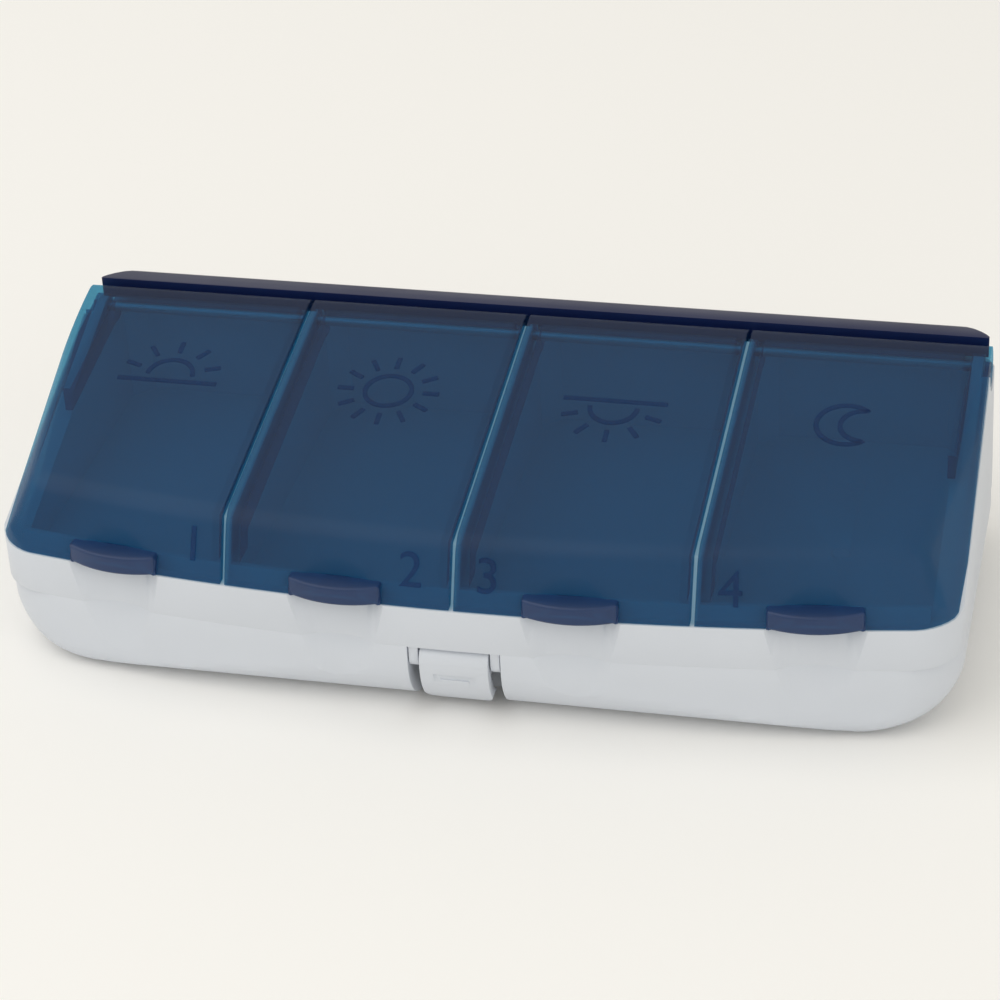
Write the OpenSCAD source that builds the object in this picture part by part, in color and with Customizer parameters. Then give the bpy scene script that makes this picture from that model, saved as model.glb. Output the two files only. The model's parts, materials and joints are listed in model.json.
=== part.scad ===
// Pill box in two storeys: a tray with a row of lidded bins, hinged over a lower case that holds a pill splitter.
// Origin: middle of the resting face. X runs along the length, -Y is the front, +Z is up. All sizes in millimetres.

/* [Overall] */
// Length of the case
body_l = 150; // [120:1:190]
// Depth of the case, from the front of the bow to the rear face
body_d = 67; // [58:0.5:82]
// Height of the lower case, up to the parting line
case_h = 13; // [12.5:0.5:18]
// Height of the tray's front rim above the parting line
rim_h = 7; // [6:0.5:12]

/* [Outer shape] */
// Radius of the bow that the front follows, seen from above
bow_r = 417; // [300:1:600]
// Radius of the straight rounding along the bottom edges
bottom_r = 10; // [6:0.5:12]
// Radius of the rounding where the bow meets the floor
bow_edge_r = 4; // [2:0.5:5]
// Radius of the upright corners
corner_r = 9; // [6:0.5:11]
// Lean of the side walls, in degrees
side_draft = 1.7; // [0:0.1:2.5]

/* [Lids] */
// Thickness of a lid's skin
lid_t = 1.4; // [1:0.1:1.8]
// Slope of the lid tops, in degrees
lid_slope = 9; // [7:0.5:11]
// Backward lean of the lids' front faces, in degrees
lid_lean = 22; // [15:1:26]
// Height of a lid's front face
lid_front_h = 10.2; // [8:0.2:13]
// Gap between neighbouring lids
lid_gap = 0.7; // [0.5:0.1:1]
// Thickness of the ribs inside a lid
rib_t = 1.2; // [0.8:0.1:1.4]
// Depth of the ribs below the skin
rib_depth = 4; // [3:0.5:5]
// Width of the finger tab
tab_w = 14.4; // [10:0.2:20]
// How far the finger tab stands proud
tab_out = 1.6; // [1:0.1:2.5]
// Height of the finger tab
tab_h = 2.3; // [1.5:0.1:3]
// Distance of the lid hinge from the rear face
lid_hinge_in = 9.3; // [8.5:0.1:11]
// Outer radius of the lids' hinge barrel
lid_barrel_r = 3.3; // [3.1:0.1:3.8]
// Diameter of the lids' hinge pin
lid_pin_d = 1.6; // [1.2:0.1:1.8]

/* [Tray] */
// Thickness of the tray's front wall, which carries the finger scoops
tray_front_t = 3.8; // [3.6:0.1:5]
// Thickness of the tray's rear wall
tray_rear_t = 2.6; // [2.2:0.1:3.5]
// Thickness of the tray's end walls at the bins
tray_end_t = 4.8; // [4.4:0.1:6]
// Thickness of the partitions between the bins
partition_t = 1.6; // [1.2:0.1:1.6]
// Thickness of the tray's floor
tray_floor_t = 1.6; // [1.2:0.1:2.2]
// Depth of the hollow under the tray's floor
tray_under_h = 1.4; // [1:0.1:2]

/* [Lower case] */
// Thickness of the lower case's front wall
case_front_t = 3; // [2.6:0.1:4]
// Thickness of the lower case's other walls and floor
case_wall_t = 2; // [1.6:0.1:2.6]
// Diameter of the case hinge's knuckles
knuckle_d = 4.4; // [3.8:0.1:5]
// Diameter of the case hinge's pins
case_pin_d = 1.6; // [1.2:0.1:2]
// Distance of each case hinge from the middle
case_hinge_x = 45; // [35:1:55]

/* [Finger scoops] */
// Width of a scoop at the rim
scoop_w = 15; // [10:0.5:18]
// Depth of a scoop at the rim
scoop_depth = 2.6; // [1.5:0.1:3]

/* [Latch] */
// Width of the latch tongue
latch_w = 10.6; // [8:0.2:14]
// Room in the notch on each side of the tongue, for the lugs
latch_side = 1.9; // [1.8:0.1:2.6]
// Depth of the notch, front to back
notch_d = 10; // [9:0.5:12]
// Thickness of the latch tongue
latch_t = 1.8; // [1.4:0.1:2.2]
// Diameter of the latch's pin
latch_pin_d = 1.5; // [1.2:0.1:1.8]

/* [Splitter] */
// Distance of the blade from the middle of the case
blade_x = 52; // [40:1:56]
// Length of the blade
blade_l = 24; // [20:1:26]
// Thickness of the blade
blade_t = 0.3; // [0.2:0.05:0.5]
// Height of the nest that holds the pill
nest_h = 7.2; // [6:0.2:7.4]
// Width of the nest
nest_w = 22; // [20:0.5:24]
// Width of the V at its mouth
vee_w = 19; // [14:0.5:20]
// Depth of the V
vee_d = 24; // [18:0.5:26]

/* [Fits] */
// Gap between parts that move past each other
gap = 0.3; // [0.2:0.05:0.4]
// Gap between parts that rest on each other
seat_gap = 0.15; // [0.1:0.05:0.25]
// Radial play of a turning part on its pin
pin_play = 0.05; // [0.02:0.01:0.08]
// Radial play of a pin in its fixed seat
seat_play = 0.02; // [0.01:0.005:0.04]

/* [Hidden] */
$fn = 64;

white = [0.86, 0.88, 0.88];
blue = [0.13, 0.30, 0.45, 0.85];
steel = [0.72, 0.73, 0.75];
soft_grey = [0.45, 0.47, 0.48];

// A shape that cuts reaches this far past what it cuts.
over = 1;
// Far enough to be outside the whole object.
far = body_l;

// Places
half_l = body_l / 2;
bow_edge_in_r = 1;
rear_y = body_d / 2;
front_y = -rear_y;
bow_y = front_y + bow_r;
rim_z = case_h + rim_h;
floor_z = case_h + tray_under_h + tray_floor_t;
under_z = case_h + tray_under_h;

// Lids
lid_count = 4;
end_margin = 3;
lid_bottom_z = rim_z + seat_gap;
crease_z = rim_z + lid_front_h;
crease_y = front_y + seat_gap + lid_front_h * tan(lid_lean);
hinge_y = rear_y - lid_hinge_in;
hinge_z = crease_z + (hinge_y - crease_y) * tan(lid_slope) - lid_barrel_r / cos(lid_slope);
top_z = hinge_z + lid_barrel_r;
ear_r = lid_barrel_r - lid_t - gap;
pitch = (body_l - 2 * end_margin) / lid_count;
rib_in = partition_t / 2 + gap;
rib_end_z = rim_z + 2.7;
inner_rim_h = 2.2;
lid_swing = 100;

// Ends: an end lid has a flat, leaning side face, and under it an upright wall that stands on the tray's rising
// shoulder, flush with the case.
facet_in = 6.7;
facet_tilt = 27.3;
facet_yaw = 13.1;
lid_end_in = 0.15;
shoulder_rear_z = top_z - lid_t - gap - 0.3;
end_wall_x = half_l - tray_end_t;
shoulder_front_y = bow_y - sqrt(pow(bow_r - tray_front_t, 2) - pow(end_wall_x, 2));
ear_in_x = half_l - 3.8;
ear_out_x = half_l - 2.2;
lid_end_x = ear_out_x + 0.2;

// Rail
rail_y = hinge_y + lid_barrel_r + gap;
rail_lip_t = 1.4;
rail_seat_z = hinge_z - 1.8;
rail_under_z = rail_seat_z + 1.5;
rail_inset = 0.7;
rail_tongue_y = rear_y - rail_lip_t - 0.1;
rail_round = 2.2;

// Case hinge
case_hinge_y = rear_y + 0.4;
knuckle_r = knuckle_d / 2;
knuckle_l = 5;
case_pin_l = 3 * knuckle_l + 4 * gap - 1;
hinge_pad_y = rear_y - 4.5;

// Latch
notch_w = latch_w + 2 * latch_side;
latch_out = 0.4;
latch_eye_r = 2.35;
latch_pivot_y = front_y - latch_out + latch_eye_r;
latch_pivot_z = case_h - seat_gap - latch_eye_r;
lug_r = 1.6;
nose_t = 1.7;
latch_bottom_z = 0.7;
latch_reach = 6.3;
lug_t = 1.4;
catch_w = 6;
catch_z = 4.9;
catch_t = 1.6;
catch_gap = 0.15;
notch_wall_t = 1.4;

// Splitter
blade_edge_z = case_wall_t + 0.6;
blade_top_z = under_z - 0.8;
clamp_z = case_wall_t + nest_h + 0.5;
clamp_t = 3.3;
holder_t = 4.4;
blade_screw_z = under_z - 2.4;
blade_screw_d = 2;
blade_screw_head_d = 3.8;
peg_r = 1.4;
nest_rear_y = rear_y - bottom_r - 0.3;
blade_y = nest_rear_y - 4 - blade_l;
nest_lead = 11;
nest_front_y = blade_y - nest_lead;
vee_floor_t = 2.2;
slot_w = blade_t + 2 * gap;
pad_t = 1;
ear_w = 6.4;
boss_h = 3;
boss_r = 2.6;
nest_screw_y = nest_rear_y - 8;
nest_screw_d = 1.8;
nest_screw_head_d = 3.6;

// Points of an arc about [x, y], from angle a0 to a1.
function arc(x, y, r, a0, a1, steps) =
    [for (i = [0 : steps]) let (a = a0 + (a1 - a0) * i / steps) [x + r * cos(a), y + r * sin(a)]];

// Height of the lid's top plane at y, taken in by an inset.
function lid_top(y, inset) =
    hinge_z + (lid_barrel_r - inset) / cos(lid_slope) + (y - hinge_y) * tan(lid_slope);

// Middle of lid i, counted from 1 at the left.
function lid_x(i) = (i - (lid_count + 1) / 2) * pitch;

// A profile drawn as [y, z], extruded along X between two places.
module along_x(x0, x1) {
    translate([x0, 0, 0]) rotate([90, 0, 90]) linear_extrude(x1 - x0) children();
}

// A profile drawn as [x, z], extruded along the whole depth.
module along_y() {
    rotate([90, 0, 0]) linear_extrude(2 * far, center = true) children();
}

// A cylinder along X between two places.
module rod_x(x0, x1, r, y, z) {
    translate([x0, y, z]) rotate([0, 90, 0]) cylinder(h = x1 - x0, r = r);
}

// A box between two corners.
module block(low, high) {
    translate(low) cube(high - low);
}

// Puts its children, drawn at the middle of the front, where the bow passes x.
module on_bow(x) {
    translate([0, bow_y, 0]) rotate([0, 0, asin(x / bow_r)]) translate([0, -bow_y, 0]) children();
}

// The bow with its own rounded bottom edge, turned about the bow's centre. A hollow has a small rounding there.
module bow_solid(inset, floor_inset) {
    r = inset > 0 ? bow_edge_in_r : bow_edge_r;
    out = bow_r - inset;
    translate([0, bow_y, 0])
        rotate_extrude($fn = 360)
            polygon(concat(
                [[0, floor_inset]],
                arc(out - r, floor_inset + r, r, -90, 0, 8),
                [[out, far], [0, far]]));
}

// The ends, with the rounded bottom edge and the lean of the side walls.
module ends_solid(inset) {
    r = bottom_r - inset;
    x = half_l - inset;
    lean = (far - bottom_r) * tan(side_draft);
    right = concat(arc(x - r, inset + r, r, -90, 0, 8), [[x - lean, far]]);
    left = [for (i = [len(right) - 1 : -1 : 0]) [-right[i][0], right[i][1]]];
    along_y() polygon(concat(right, left));
}

// The straight front and rear bottom roundings, that run the whole length.
module length_solid(inset) {
    r = bottom_r - inset;
    along_x(-far, far)
        polygon(concat(
            [[front_y + inset, far]],
            arc(front_y + inset + r, inset + r, r, -180, -90, 8),
            arc(rear_y - inset - r, inset + r, r, -90, 0, 8),
            [[rear_y - inset, far]]));
}

// The upright corners. The arcs stop short of the walls, and straight stretches run on outside them.
module corners_solid(inset) {
    r = corner_r - inset;
    x = half_l - corner_r;
    front = bow_y - sqrt(pow(bow_r - corner_r, 2) - x * x);
    turn = 90 - asin(x / (bow_r - corner_r));
    short = 4;
    ahead = body_d * 0.6;
    rear_arc = arc(x, rear_y - corner_r, r, short, 90 - short, 8);
    front_arc = arc(x, front, r, short - turn, -short, 8);
    right = concat(
        [front_arc[0] + ahead * [-sin(turn - short), -cos(turn - short)]],
        front_arc,
        rear_arc,
        [rear_arc[8] + ahead * [-cos(short), sin(short)]]);
    left = [for (i = [len(right) - 1 : -1 : 0]) [-right[i][0], right[i][1]]];
    linear_extrude(2 * far, center = true) polygon(concat(right, left));
}

// The outside of the whole case, or the same taken in for a hollow.
module outer(front_inset, inset) {
    intersection() {
        bow_solid(front_inset, inset);
        ends_solid(inset);
        length_solid(inset);
        corners_solid(inset);
    }
}

// The finger scoop under one lid's tab. Its axis leans, so that the scoop fades out on the lower case.
module scoop() {
    r = (pow(scoop_w / 2, 2) + pow(scoop_depth, 2)) / (2 * scoop_depth);
    lean = atan(scoop_depth / (rim_z - 6));
    translate([0, front_y + scoop_depth - r, rim_z])
        rotate([-lean, 0, 0])
            cylinder(h = 2 * rim_z, r = r, center = true, $fn = 96);
}

module scoops() {
    for (i = [1 : lid_count]) on_bow(lid_x(i)) scoop();
}

// Room round the case hinge's pin for the other half's knuckles.
module knuckle_relief(x0, x1) {
    rod_x(x0, x1, knuckle_r + gap, case_hinge_y, case_h);
}

// One knuckle, with its bore.
module knuckle(x0, x1) {
    rod_x(x0, x1, knuckle_r, case_hinge_y, case_h);
}

// ---- Lower case ----

module base_case() {
    color(white)
    difference() {
        union() {
            difference() {
                outer(0, 0);
                block([-far, -far, case_h], [far, far, 3 * far]);
                intersection() {
                    outer(case_front_t, case_wall_t);
                    block([-far, -far, 0], [far, far, 3 * far]);
                }
            }
            intersection() {
                outer(0, 0);
                union() {
                    notch_walls();
                    hinge_pads();
                }
            }
            nest_bosses();
            for (s = [-1, 1]) {
                knuckle(s * case_hinge_x - 1.5 * knuckle_l - gap, s * case_hinge_x - 0.5 * knuckle_l - gap);
                knuckle(s * case_hinge_x + 0.5 * knuckle_l + gap, s * case_hinge_x + 1.5 * knuckle_l + gap);
            }
        }
        scoops();
        notch();
        for (s = [-1, 1]) {
            knuckle_relief(s * case_hinge_x - knuckle_l / 2 - gap, s * case_hinge_x + knuckle_l / 2 + gap);
            rod_x(s * case_hinge_x - case_pin_l / 2 - seat_gap, s * case_hinge_x + case_pin_l / 2 + seat_gap,
                case_pin_d / 2 + seat_play, case_hinge_y, case_h);
        }
        for (s = [-1, 1])
            translate([blade_x + s * (nest_w + ear_w) / 2, nest_screw_y, 0.8])
                cylinder(h = far, r = nest_screw_d / 2 + seat_play);
    }
}

// Walls that close the latch notch off from the inside, with the catch.
module notch_walls() {
    x = notch_w / 2 + notch_wall_t;
    block([-x, front_y - over, 0], [x, front_y + notch_d + notch_wall_t, case_h]);
}

// The open notch, all but the catch that the latch hooks under.
module notch() {
    difference() {
        block([-notch_w / 2, -far, -over], [notch_w / 2, front_y + notch_d, far]);
        block([-catch_w / 2, front_y + latch_reach + catch_gap, catch_z], [catch_w / 2, rear_y, catch_z + catch_t]);
    }
}

// Thicker wall where the case hinges stand.
module hinge_pads() {
    for (s = [-1, 1])
        block([s * case_hinge_x - 2 * knuckle_l, hinge_pad_y, case_h - 6],
            [s * case_hinge_x + 2 * knuckle_l, rear_y, case_h]);
}

// Bosses that the nest's ears are screwed to.
module nest_bosses() {
    for (s = [-1, 1])
        translate([blade_x + s * (nest_w + ear_w) / 2, nest_screw_y, case_wall_t / 2])
            cylinder(h = case_wall_t / 2 + boss_h, r = boss_r);
}

// ---- Tray ----

// The top of the tray's walls, as [y, z]: the rim, the rising shoulder, and the seat of the rail.
module wall_top() {
    polygon([
        [-far, -over], [-far, rim_z], [shoulder_front_y, rim_z], [hinge_y - 1, shoulder_rear_z],
        [hinge_y + ear_r, shoulder_rear_z], [hinge_y + ear_r, rail_seat_z], [far, rail_seat_z], [far, -over]
    ]);
}

// Everything under the lids' ribs and barrels, as [y, z]. Above it the tray has only partitions.
module under_ribs() {
    low = lid_t + rib_depth + gap;
    polygon([
        [-far, lid_top(-far, low)], [hinge_y - 2, lid_top(hinge_y - 2, low)],
        [hinge_y, hinge_z - lid_barrel_r - gap], [rail_y + over, hinge_z - lid_barrel_r - gap],
        [rail_y + over, 3 * far], [-far, 3 * far]
    ]);
}

// The ring that a lid's barrel sweeps, as [y, z], outside the ear that holds the pin.
module barrel_sweep() {
    a0 = 95 + lid_slope;
    a1 = -15 - lid_swing;
    outside = arc(hinge_y, hinge_z, lid_barrel_r + gap, a0, a1, 30);
    inside = arc(hinge_y, hinge_z, ear_r, a1, a0, 30);
    polygon(concat(outside, inside));
}

// Room for the end of a lid's barrel outside the last ear, and for the lid's end wall behind the hinge when open.
module lid_end_room() {
    rod_x(ear_out_x, half_l + over, lid_barrel_r + gap + seat_gap, hinge_y, hinge_z);
    block([ear_out_x, hinge_y, hinge_z - gap], [half_l + over, rail_y, far]);
}

// A partition, as [y, z]: it fills the lids' profile and carries the ear.
module partition_profile() {
    low = lid_t + gap;
    polygon([
        [front_y - over, under_z], [front_y - over, lid_top(front_y - over, low)],
        [hinge_y, lid_top(hinge_y, low)], [hinge_y + ear_r, hinge_z], [rail_y, hinge_z],
        [rail_y, rail_under_z - 0.1], [rail_tongue_y, rail_under_z - 0.1], [rail_tongue_y, under_z]
    ]);
}

// The lids' front face, as a cone about the bow's centre, taken in by an inset.
module lid_cone(inset) {
    h = far;
    r = bow_r - seat_gap - inset / cos(lid_lean);
    translate([0, bow_y, rim_z - over])
        cylinder(h = h, r1 = r + over * tan(lid_lean), r2 = r - (h - over) * tan(lid_lean), $fn = 360);
}

// Hollow of one bin.
module bin(i) {
    last = i == lid_count;
    first = i == 1;
    x0 = first ? -end_wall_x : lid_x(i) - pitch / 2 + partition_t / 2;
    x1 = last ? end_wall_x : lid_x(i) + pitch / 2 - partition_t / 2;
    r = 3;
    intersection() {
        translate([0, bow_y, floor_z]) cylinder(h = far, r = bow_r - tray_front_t, $fn = 360);
        translate([0, 0, floor_z])
            linear_extrude(far)
                polygon([
                    [x0, -far], [x1, -far], [x1, rear_y - tray_rear_t - r], [x1 - r, rear_y - tray_rear_t],
                    [x0 + r, rear_y - tray_rear_t], [x0, rear_y - tray_rear_t - r]
                ]);
    }
}

module tray() {
    color(white)
    difference() {
        union() {
            difference() {
                tray_walls();
                along_x(-ear_in_x, ear_in_x) under_ribs();
                for (i = [1 : lid_count]) bin(i);
            }
            inner_rim();
            partitions();
            rail_tongue();
            latch_lugs();
            for (s = [-1, 1]) knuckle(s * case_hinge_x - knuckle_l / 2, s * case_hinge_x + knuckle_l / 2);
        }
        scoops();
        along_x(-ear_out_x, ear_out_x) barrel_sweep();
        for (s = [-1, 1]) mirror([s < 0 ? 1 : 0, 0, 0]) lid_end_room();
        rod_x(-ear_out_x - 0.4, ear_out_x + 0.4, lid_pin_d / 2 + seat_play, hinge_y, hinge_z);
        rod_x(-notch_w / 2, notch_w / 2, latch_pin_d / 2 + seat_play, latch_pivot_y, latch_pivot_z);
        rod_x(-latch_w / 2 - 0.2, latch_w / 2 + 0.2, latch_eye_r + seat_gap, latch_pivot_y, latch_pivot_z);
        for (s = [-1, 1]) {
            for (t = [-1, 1])
                knuckle_relief(s * case_hinge_x + t * (knuckle_l + gap) - knuckle_l / 2 - gap,
                    s * case_hinge_x + t * (knuckle_l + gap) + knuckle_l / 2 + gap);
            rod_x(s * case_hinge_x - knuckle_l, s * case_hinge_x + knuckle_l,
                case_pin_d / 2 + pin_play, case_hinge_y, case_h);
        }
        for (y = peg_places()) translate([blade_x + holder_t / 2, y, case_h]) cylinder(h = far, r = peg_r + pin_play);
    }
}

module tray_walls() {
    difference() {
        intersection() {
            outer(0, 0);
            along_x(-far, far) wall_top();
            block([-far, -far, case_h], [far, far, 3 * far]);
        }
        intersection() {
            outer(tray_front_t, case_wall_t);
            block([-far, -far, 0], [far, hinge_pad_y, under_z]);
        }
    }
}

// The low lip inside the lids' front faces.
module inner_rim() {
    difference() {
        intersection() {
            lid_cone(lid_t + gap);
            block([-end_wall_x, -far, rim_z - over], [end_wall_x, 0, rim_z + inner_rim_h]);
        }
        for (i = [1 : lid_count]) bin(i);
        for (s = [-1, 1]) facet_cut(s, lid_t + gap);
    }
}

module partitions() {
    intersection() {
        lid_cone(lid_t + gap);
        for (i = [1 : lid_count - 1]) {
            x = lid_x(i) + pitch / 2;
            along_x(x - partition_t / 2, x + partition_t / 2) partition_profile();
        }
    }
    intersection() {
        translate([0, bow_y, 0]) cylinder(h = rim_z, r = bow_r - tray_front_t / 2, $fn = 360);
        for (i = [1 : lid_count - 1]) {
            x = lid_x(i) + pitch / 2;
            block([x - partition_t / 2, -far, under_z], [x + partition_t / 2, rail_tongue_y, rim_z]);
        }
    }
}

// The step on the rear wall that the rail sits over.
module rail_tongue() {
    x = half_l - corner_r - rail_inset;
    block([-x, rear_y - tray_rear_t, rail_seat_z - over],
        [x, rail_tongue_y, rail_under_z - 0.1]);
}

// Two lugs that hold the latch's pin.
module latch_lugs() {
    x = notch_w / 2 - 0.2;
    for (s = [-1, 1])
        along_x(s * (x - lug_t / 2) - lug_t / 2, s * (x - lug_t / 2) + lug_t / 2)
            union() {
                translate([latch_pivot_y, latch_pivot_z]) circle(r = lug_r);
                translate([latch_pivot_y - lug_r, latch_pivot_z])
                    square([2 * lug_r, case_h - latch_pivot_z + over]);
            }
}

module hinge_rail() {
    top_rear = top_z - 0.6;
    profile = concat(
        [[rail_y, rail_under_z], [rear_y - rail_lip_t, rail_under_z],
        [rear_y - rail_lip_t, rail_seat_z + 0.1], [rear_y, rail_seat_z + 0.1]],
        arc(rear_y - rail_round, top_rear - rail_round, rail_round, 0, 84, 6),
        [[rail_y, top_z - 0.1]]);
    color(blue)
    intersection() {
        along_x(-half_l, half_l) polygon(profile);
        corners_solid(rail_inset);
        along_y() polygon([
            [-half_l + 1.6, 0], [half_l - 1.6, 0], [half_l - 1.9, far], [-half_l + 1.9, far]
        ]);
    }
}

// ---- Lids ----

// Half-space outside the flat side face of an end lid, taken in by an inset. side is -1 or 1.
module facet_cut(side, inset) {
    mirror([side < 0 ? 1 : 0, 0, 0])
        translate([half_l - facet_in, front_y + 8, crease_z])
            rotate([0, -facet_tilt, -facet_yaw])
                translate([-inset, -far, -far])
                    cube([far, 2 * far, 2 * far]);
}

// The lids' profile, as [y, z], taken in by an inset, with the barrel over the hinge.
module lid_profile(inset) {
    r = lid_barrel_r - inset;
    a0 = 90 + lid_slope;
    a1 = inset > 0 ? -40 : -10;
    polygon(concat(
        [[-far, rim_z - 2 * over], [-far, lid_top(-far, inset)]],
        arc(hinge_y, hinge_z, r, a0, a1, 12),
        inset > 0 ? [[hinge_y + r, rim_z - 2 * over]] : [[hinge_y, hinge_z], [hinge_y - 8, rim_z - 2 * over]]
    ));
}

// The lids' profile without the barrel, for the ribs.
module rib_profile(inset, reach) {
    polygon([
        [-far, rim_z - 2 * over], [-far, lid_top(-far, inset)],
        [hinge_y + reach, lid_top(hinge_y + reach, inset)], [hinge_y + reach, rim_z - 2 * over]
    ]);
}

// What lies under the shoulder of the tray's ends, where an end lid's side face stops.
module under_shoulder() {
    polygon([
        [-far, 0], [-far, lid_bottom_z], [shoulder_front_y, lid_bottom_z + 0.05],
        [hinge_y - 1, shoulder_rear_z + 0.2], [hinge_y - 0.6, shoulder_rear_z + 0.2], [hinge_y - 0.6, 0]
    ]);
}

module lid_skin(x0, x1, side) {
    difference() {
        intersection() {
            lid_cone(0);
            along_x(x0, x1) lid_profile(0);
        }
        difference() {
            intersection() {
                lid_cone(lid_t);
                along_x(x0 - over, x1 + over) lid_profile(lid_t);
            }
            if (side != 0) facet_cut(side, lid_t);
            if (side != 0)
                mirror([side < 0 ? 1 : 0, 0, 0]) block([lid_end_x, -far, 0], [far, far, far]);
        }
        if (side != 0) {
            facet_cut(side, 0);
            mirror([side < 0 ? 1 : 0, 0, 0]) {
                along_x(end_wall_x - 0.1, half_l) under_shoulder();
                rod_x(ear_in_x - 0.1, lid_end_x, ear_r + gap + 0.15, hinge_y, hinge_z);
            }
        }
        block([-far, -far, 0], [far, far, lid_bottom_z]);
    }
}

// One rib, ending in a cheek on the hinge pin. The outer rib of an end lid is a cheek only.
module lid_rib(x0, x1, side, front) {
    difference() {
        intersection() {
            lid_cone(lid_t / 2);
            along_x(x0, x1) rib_profile(lid_t / 2, 0);
            block([-far, front, rib_end_z], [far, far, 3 * far]);
        }
        intersection() {
            lid_cone(lid_t + rib_depth);
            along_x(x0 - over, x1 + over) rib_profile(lid_t + rib_depth, over);
        }
        if (side != 0) facet_cut(side, lid_t / 2);
    }
    rod_x(x0, x1, lid_barrel_r - lid_t / 2, hinge_y, hinge_z);
}

module lid_tab(x) {
    r = (pow(tab_w / 2, 2) + pow(tab_out, 2)) / (2 * tab_out);
    on_bow(x)
        intersection() {
            translate([0, front_y - tab_out + r, lid_bottom_z]) cylinder(h = tab_h, r = r, $fn = 96);
            block([-tab_w / 2, front_y - far, 0], [tab_w / 2, front_y + 0.6, far]);
        }
}

module lid(i) {
    side = i == 1 ? -1 : i == lid_count ? 1 : 0;
    left = lid_x(i) - pitch / 2;
    right = lid_x(i) + pitch / 2;
    x0 = side < 0 ? -half_l : left + lid_gap / 2;
    x1 = side > 0 ? half_l : right - lid_gap / 2;
    cheek = ear_in_x - 0.2;
    color(blue)
    difference() {
        union() {
            if (side == 0) lid_skin(x0, x1, 0);
            else intersection() {
                union() {
                    lid_skin(x0, x1, side);
                    mirror([side < 0 ? 1 : 0, 0, 0])
                        rod_x(lid_end_x, half_l, lid_barrel_r - seat_gap, hinge_y, hinge_z);
                }
                ends_solid(lid_end_in);
                corners_solid(lid_end_in);
            }
            if (side < 0) lid_rib(-cheek, -cheek + rib_t, side, 0);
            else lid_rib(left + rib_in, left + rib_in + rib_t, 0, -far);
            if (side > 0) lid_rib(cheek - rib_t, cheek, side, 0);
            else lid_rib(right - rib_in - rib_t, right - rib_in, 0, -far);
            lid_tab(lid_x(i));
        }
        rod_x(-half_l, half_l, lid_pin_d / 2 + pin_play, hinge_y, hinge_z);
    }
}

module lid_1() { lid(1); }
module lid_2() { lid(2); }
module lid_3() { lid(3); }
module lid_4() { lid(4); }

module lid_hinge_pin() {
    color(steel) rod_x(-ear_out_x - 0.2, ear_out_x + 0.2, lid_pin_d / 2, hinge_y, hinge_z);
}

// ---- Latch ----

// A slice of the front's own shape, pushed out or in, for the latch tongue.
module latch_skin(out) {
    r = bottom_r + out;
    translate([0, bow_y, 0])
        rotate_extrude($fn = 360)
            polygon(concat(
                arc(bow_r - bottom_r, bottom_r, r, -60, 0, 8),
                [[bow_r + out, far], [bow_r - 3 * bottom_r, far], [bow_r - 3 * bottom_r, 0]]));
}

module latch() {
    color(white)
    difference() {
        union() {
            intersection() {
                difference() {
                    latch_skin(latch_out);
                    latch_skin(latch_out - latch_t);
                }
                block([-latch_w / 2, -far, latch_bottom_z],
                    [latch_w / 2, front_y + latch_reach, latch_pivot_z]);
            }
            intersection() {
                latch_skin(0);
                block([-catch_w / 2, -far, catch_z - 0.25 - nose_t],
                    [catch_w / 2, front_y + latch_reach, catch_z - 0.25]);
            }
            rod_x(-latch_w / 2, latch_w / 2, latch_eye_r, latch_pivot_y, latch_pivot_z);
        }
        rod_x(-far, far, latch_pin_d / 2 + pin_play, latch_pivot_y, latch_pivot_z);
        latch_panel();
    }
}

// The shallow panel sunk into the tongue, round a raised bar.
module latch_panel() {
    z = 6.9;
    difference() {
        block([-3.2, -far, z - 1.75], [3.2, front_y - latch_out + 0.5, z + 1.75]);
        block([-2.2, -far, z - 0.75], [2.2, front_y + over, z + 0.75]);
    }
}

module latch_pin() {
    x = notch_w / 2 - 0.3;
    color(steel) rod_x(-x, x, latch_pin_d / 2, latch_pivot_y, latch_pivot_z);
}

// ---- Case hinge pins ----

module case_hinge_pin(x) {
    color(steel) rod_x(x - case_pin_l / 2, x + case_pin_l / 2, case_pin_d / 2, case_hinge_y, case_h);
}

module case_hinge_pin_left() { case_hinge_pin(-case_hinge_x); }
module case_hinge_pin_right() { case_hinge_pin(case_hinge_x); }

// ---- Splitter ----

// Outline of the V, seen from above, taken in by an inset from its walls.
module vee(inset) {
    half = vee_w / 2 - inset / cos(atan(vee_w / 2 / vee_d));
    depth = half * vee_d / (vee_w / 2);
    polygon([
        [blade_x - half, nest_front_y - over], [blade_x + half, nest_front_y - over],
        [blade_x + half, nest_front_y], [blade_x, nest_front_y + depth], [blade_x - half, nest_front_y]
    ]);
}

module pill_nest() {
    z = case_wall_t;
    color([0.80, 0.82, 0.83])
    difference() {
        union() {
            block([blade_x - nest_w / 2, nest_front_y, z], [blade_x + nest_w / 2, nest_rear_y, z + nest_h]);
            for (s = [-1, 1])
                block([blade_x + s * (nest_w + ear_w) / 2 - ear_w / 2 - 0.5, nest_screw_y - ear_w / 2, z + boss_h],
                    [blade_x + s * (nest_w + ear_w) / 2 + ear_w / 2 + 0.5, nest_screw_y + ear_w / 2, z + boss_h + 1.6]);
        }
        translate([0, 0, z + vee_floor_t]) linear_extrude(far) vee(0);
        block([blade_x - slot_w / 2, nest_front_y - over, 0], [blade_x + slot_w / 2, nest_rear_y - 2.6, far]);
        for (s = [-1, 1])
            translate([blade_x + s * (nest_w + ear_w) / 2, nest_screw_y, 0])
                cylinder(h = far, r = nest_screw_d / 2 + 0.15);
    }
}

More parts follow.
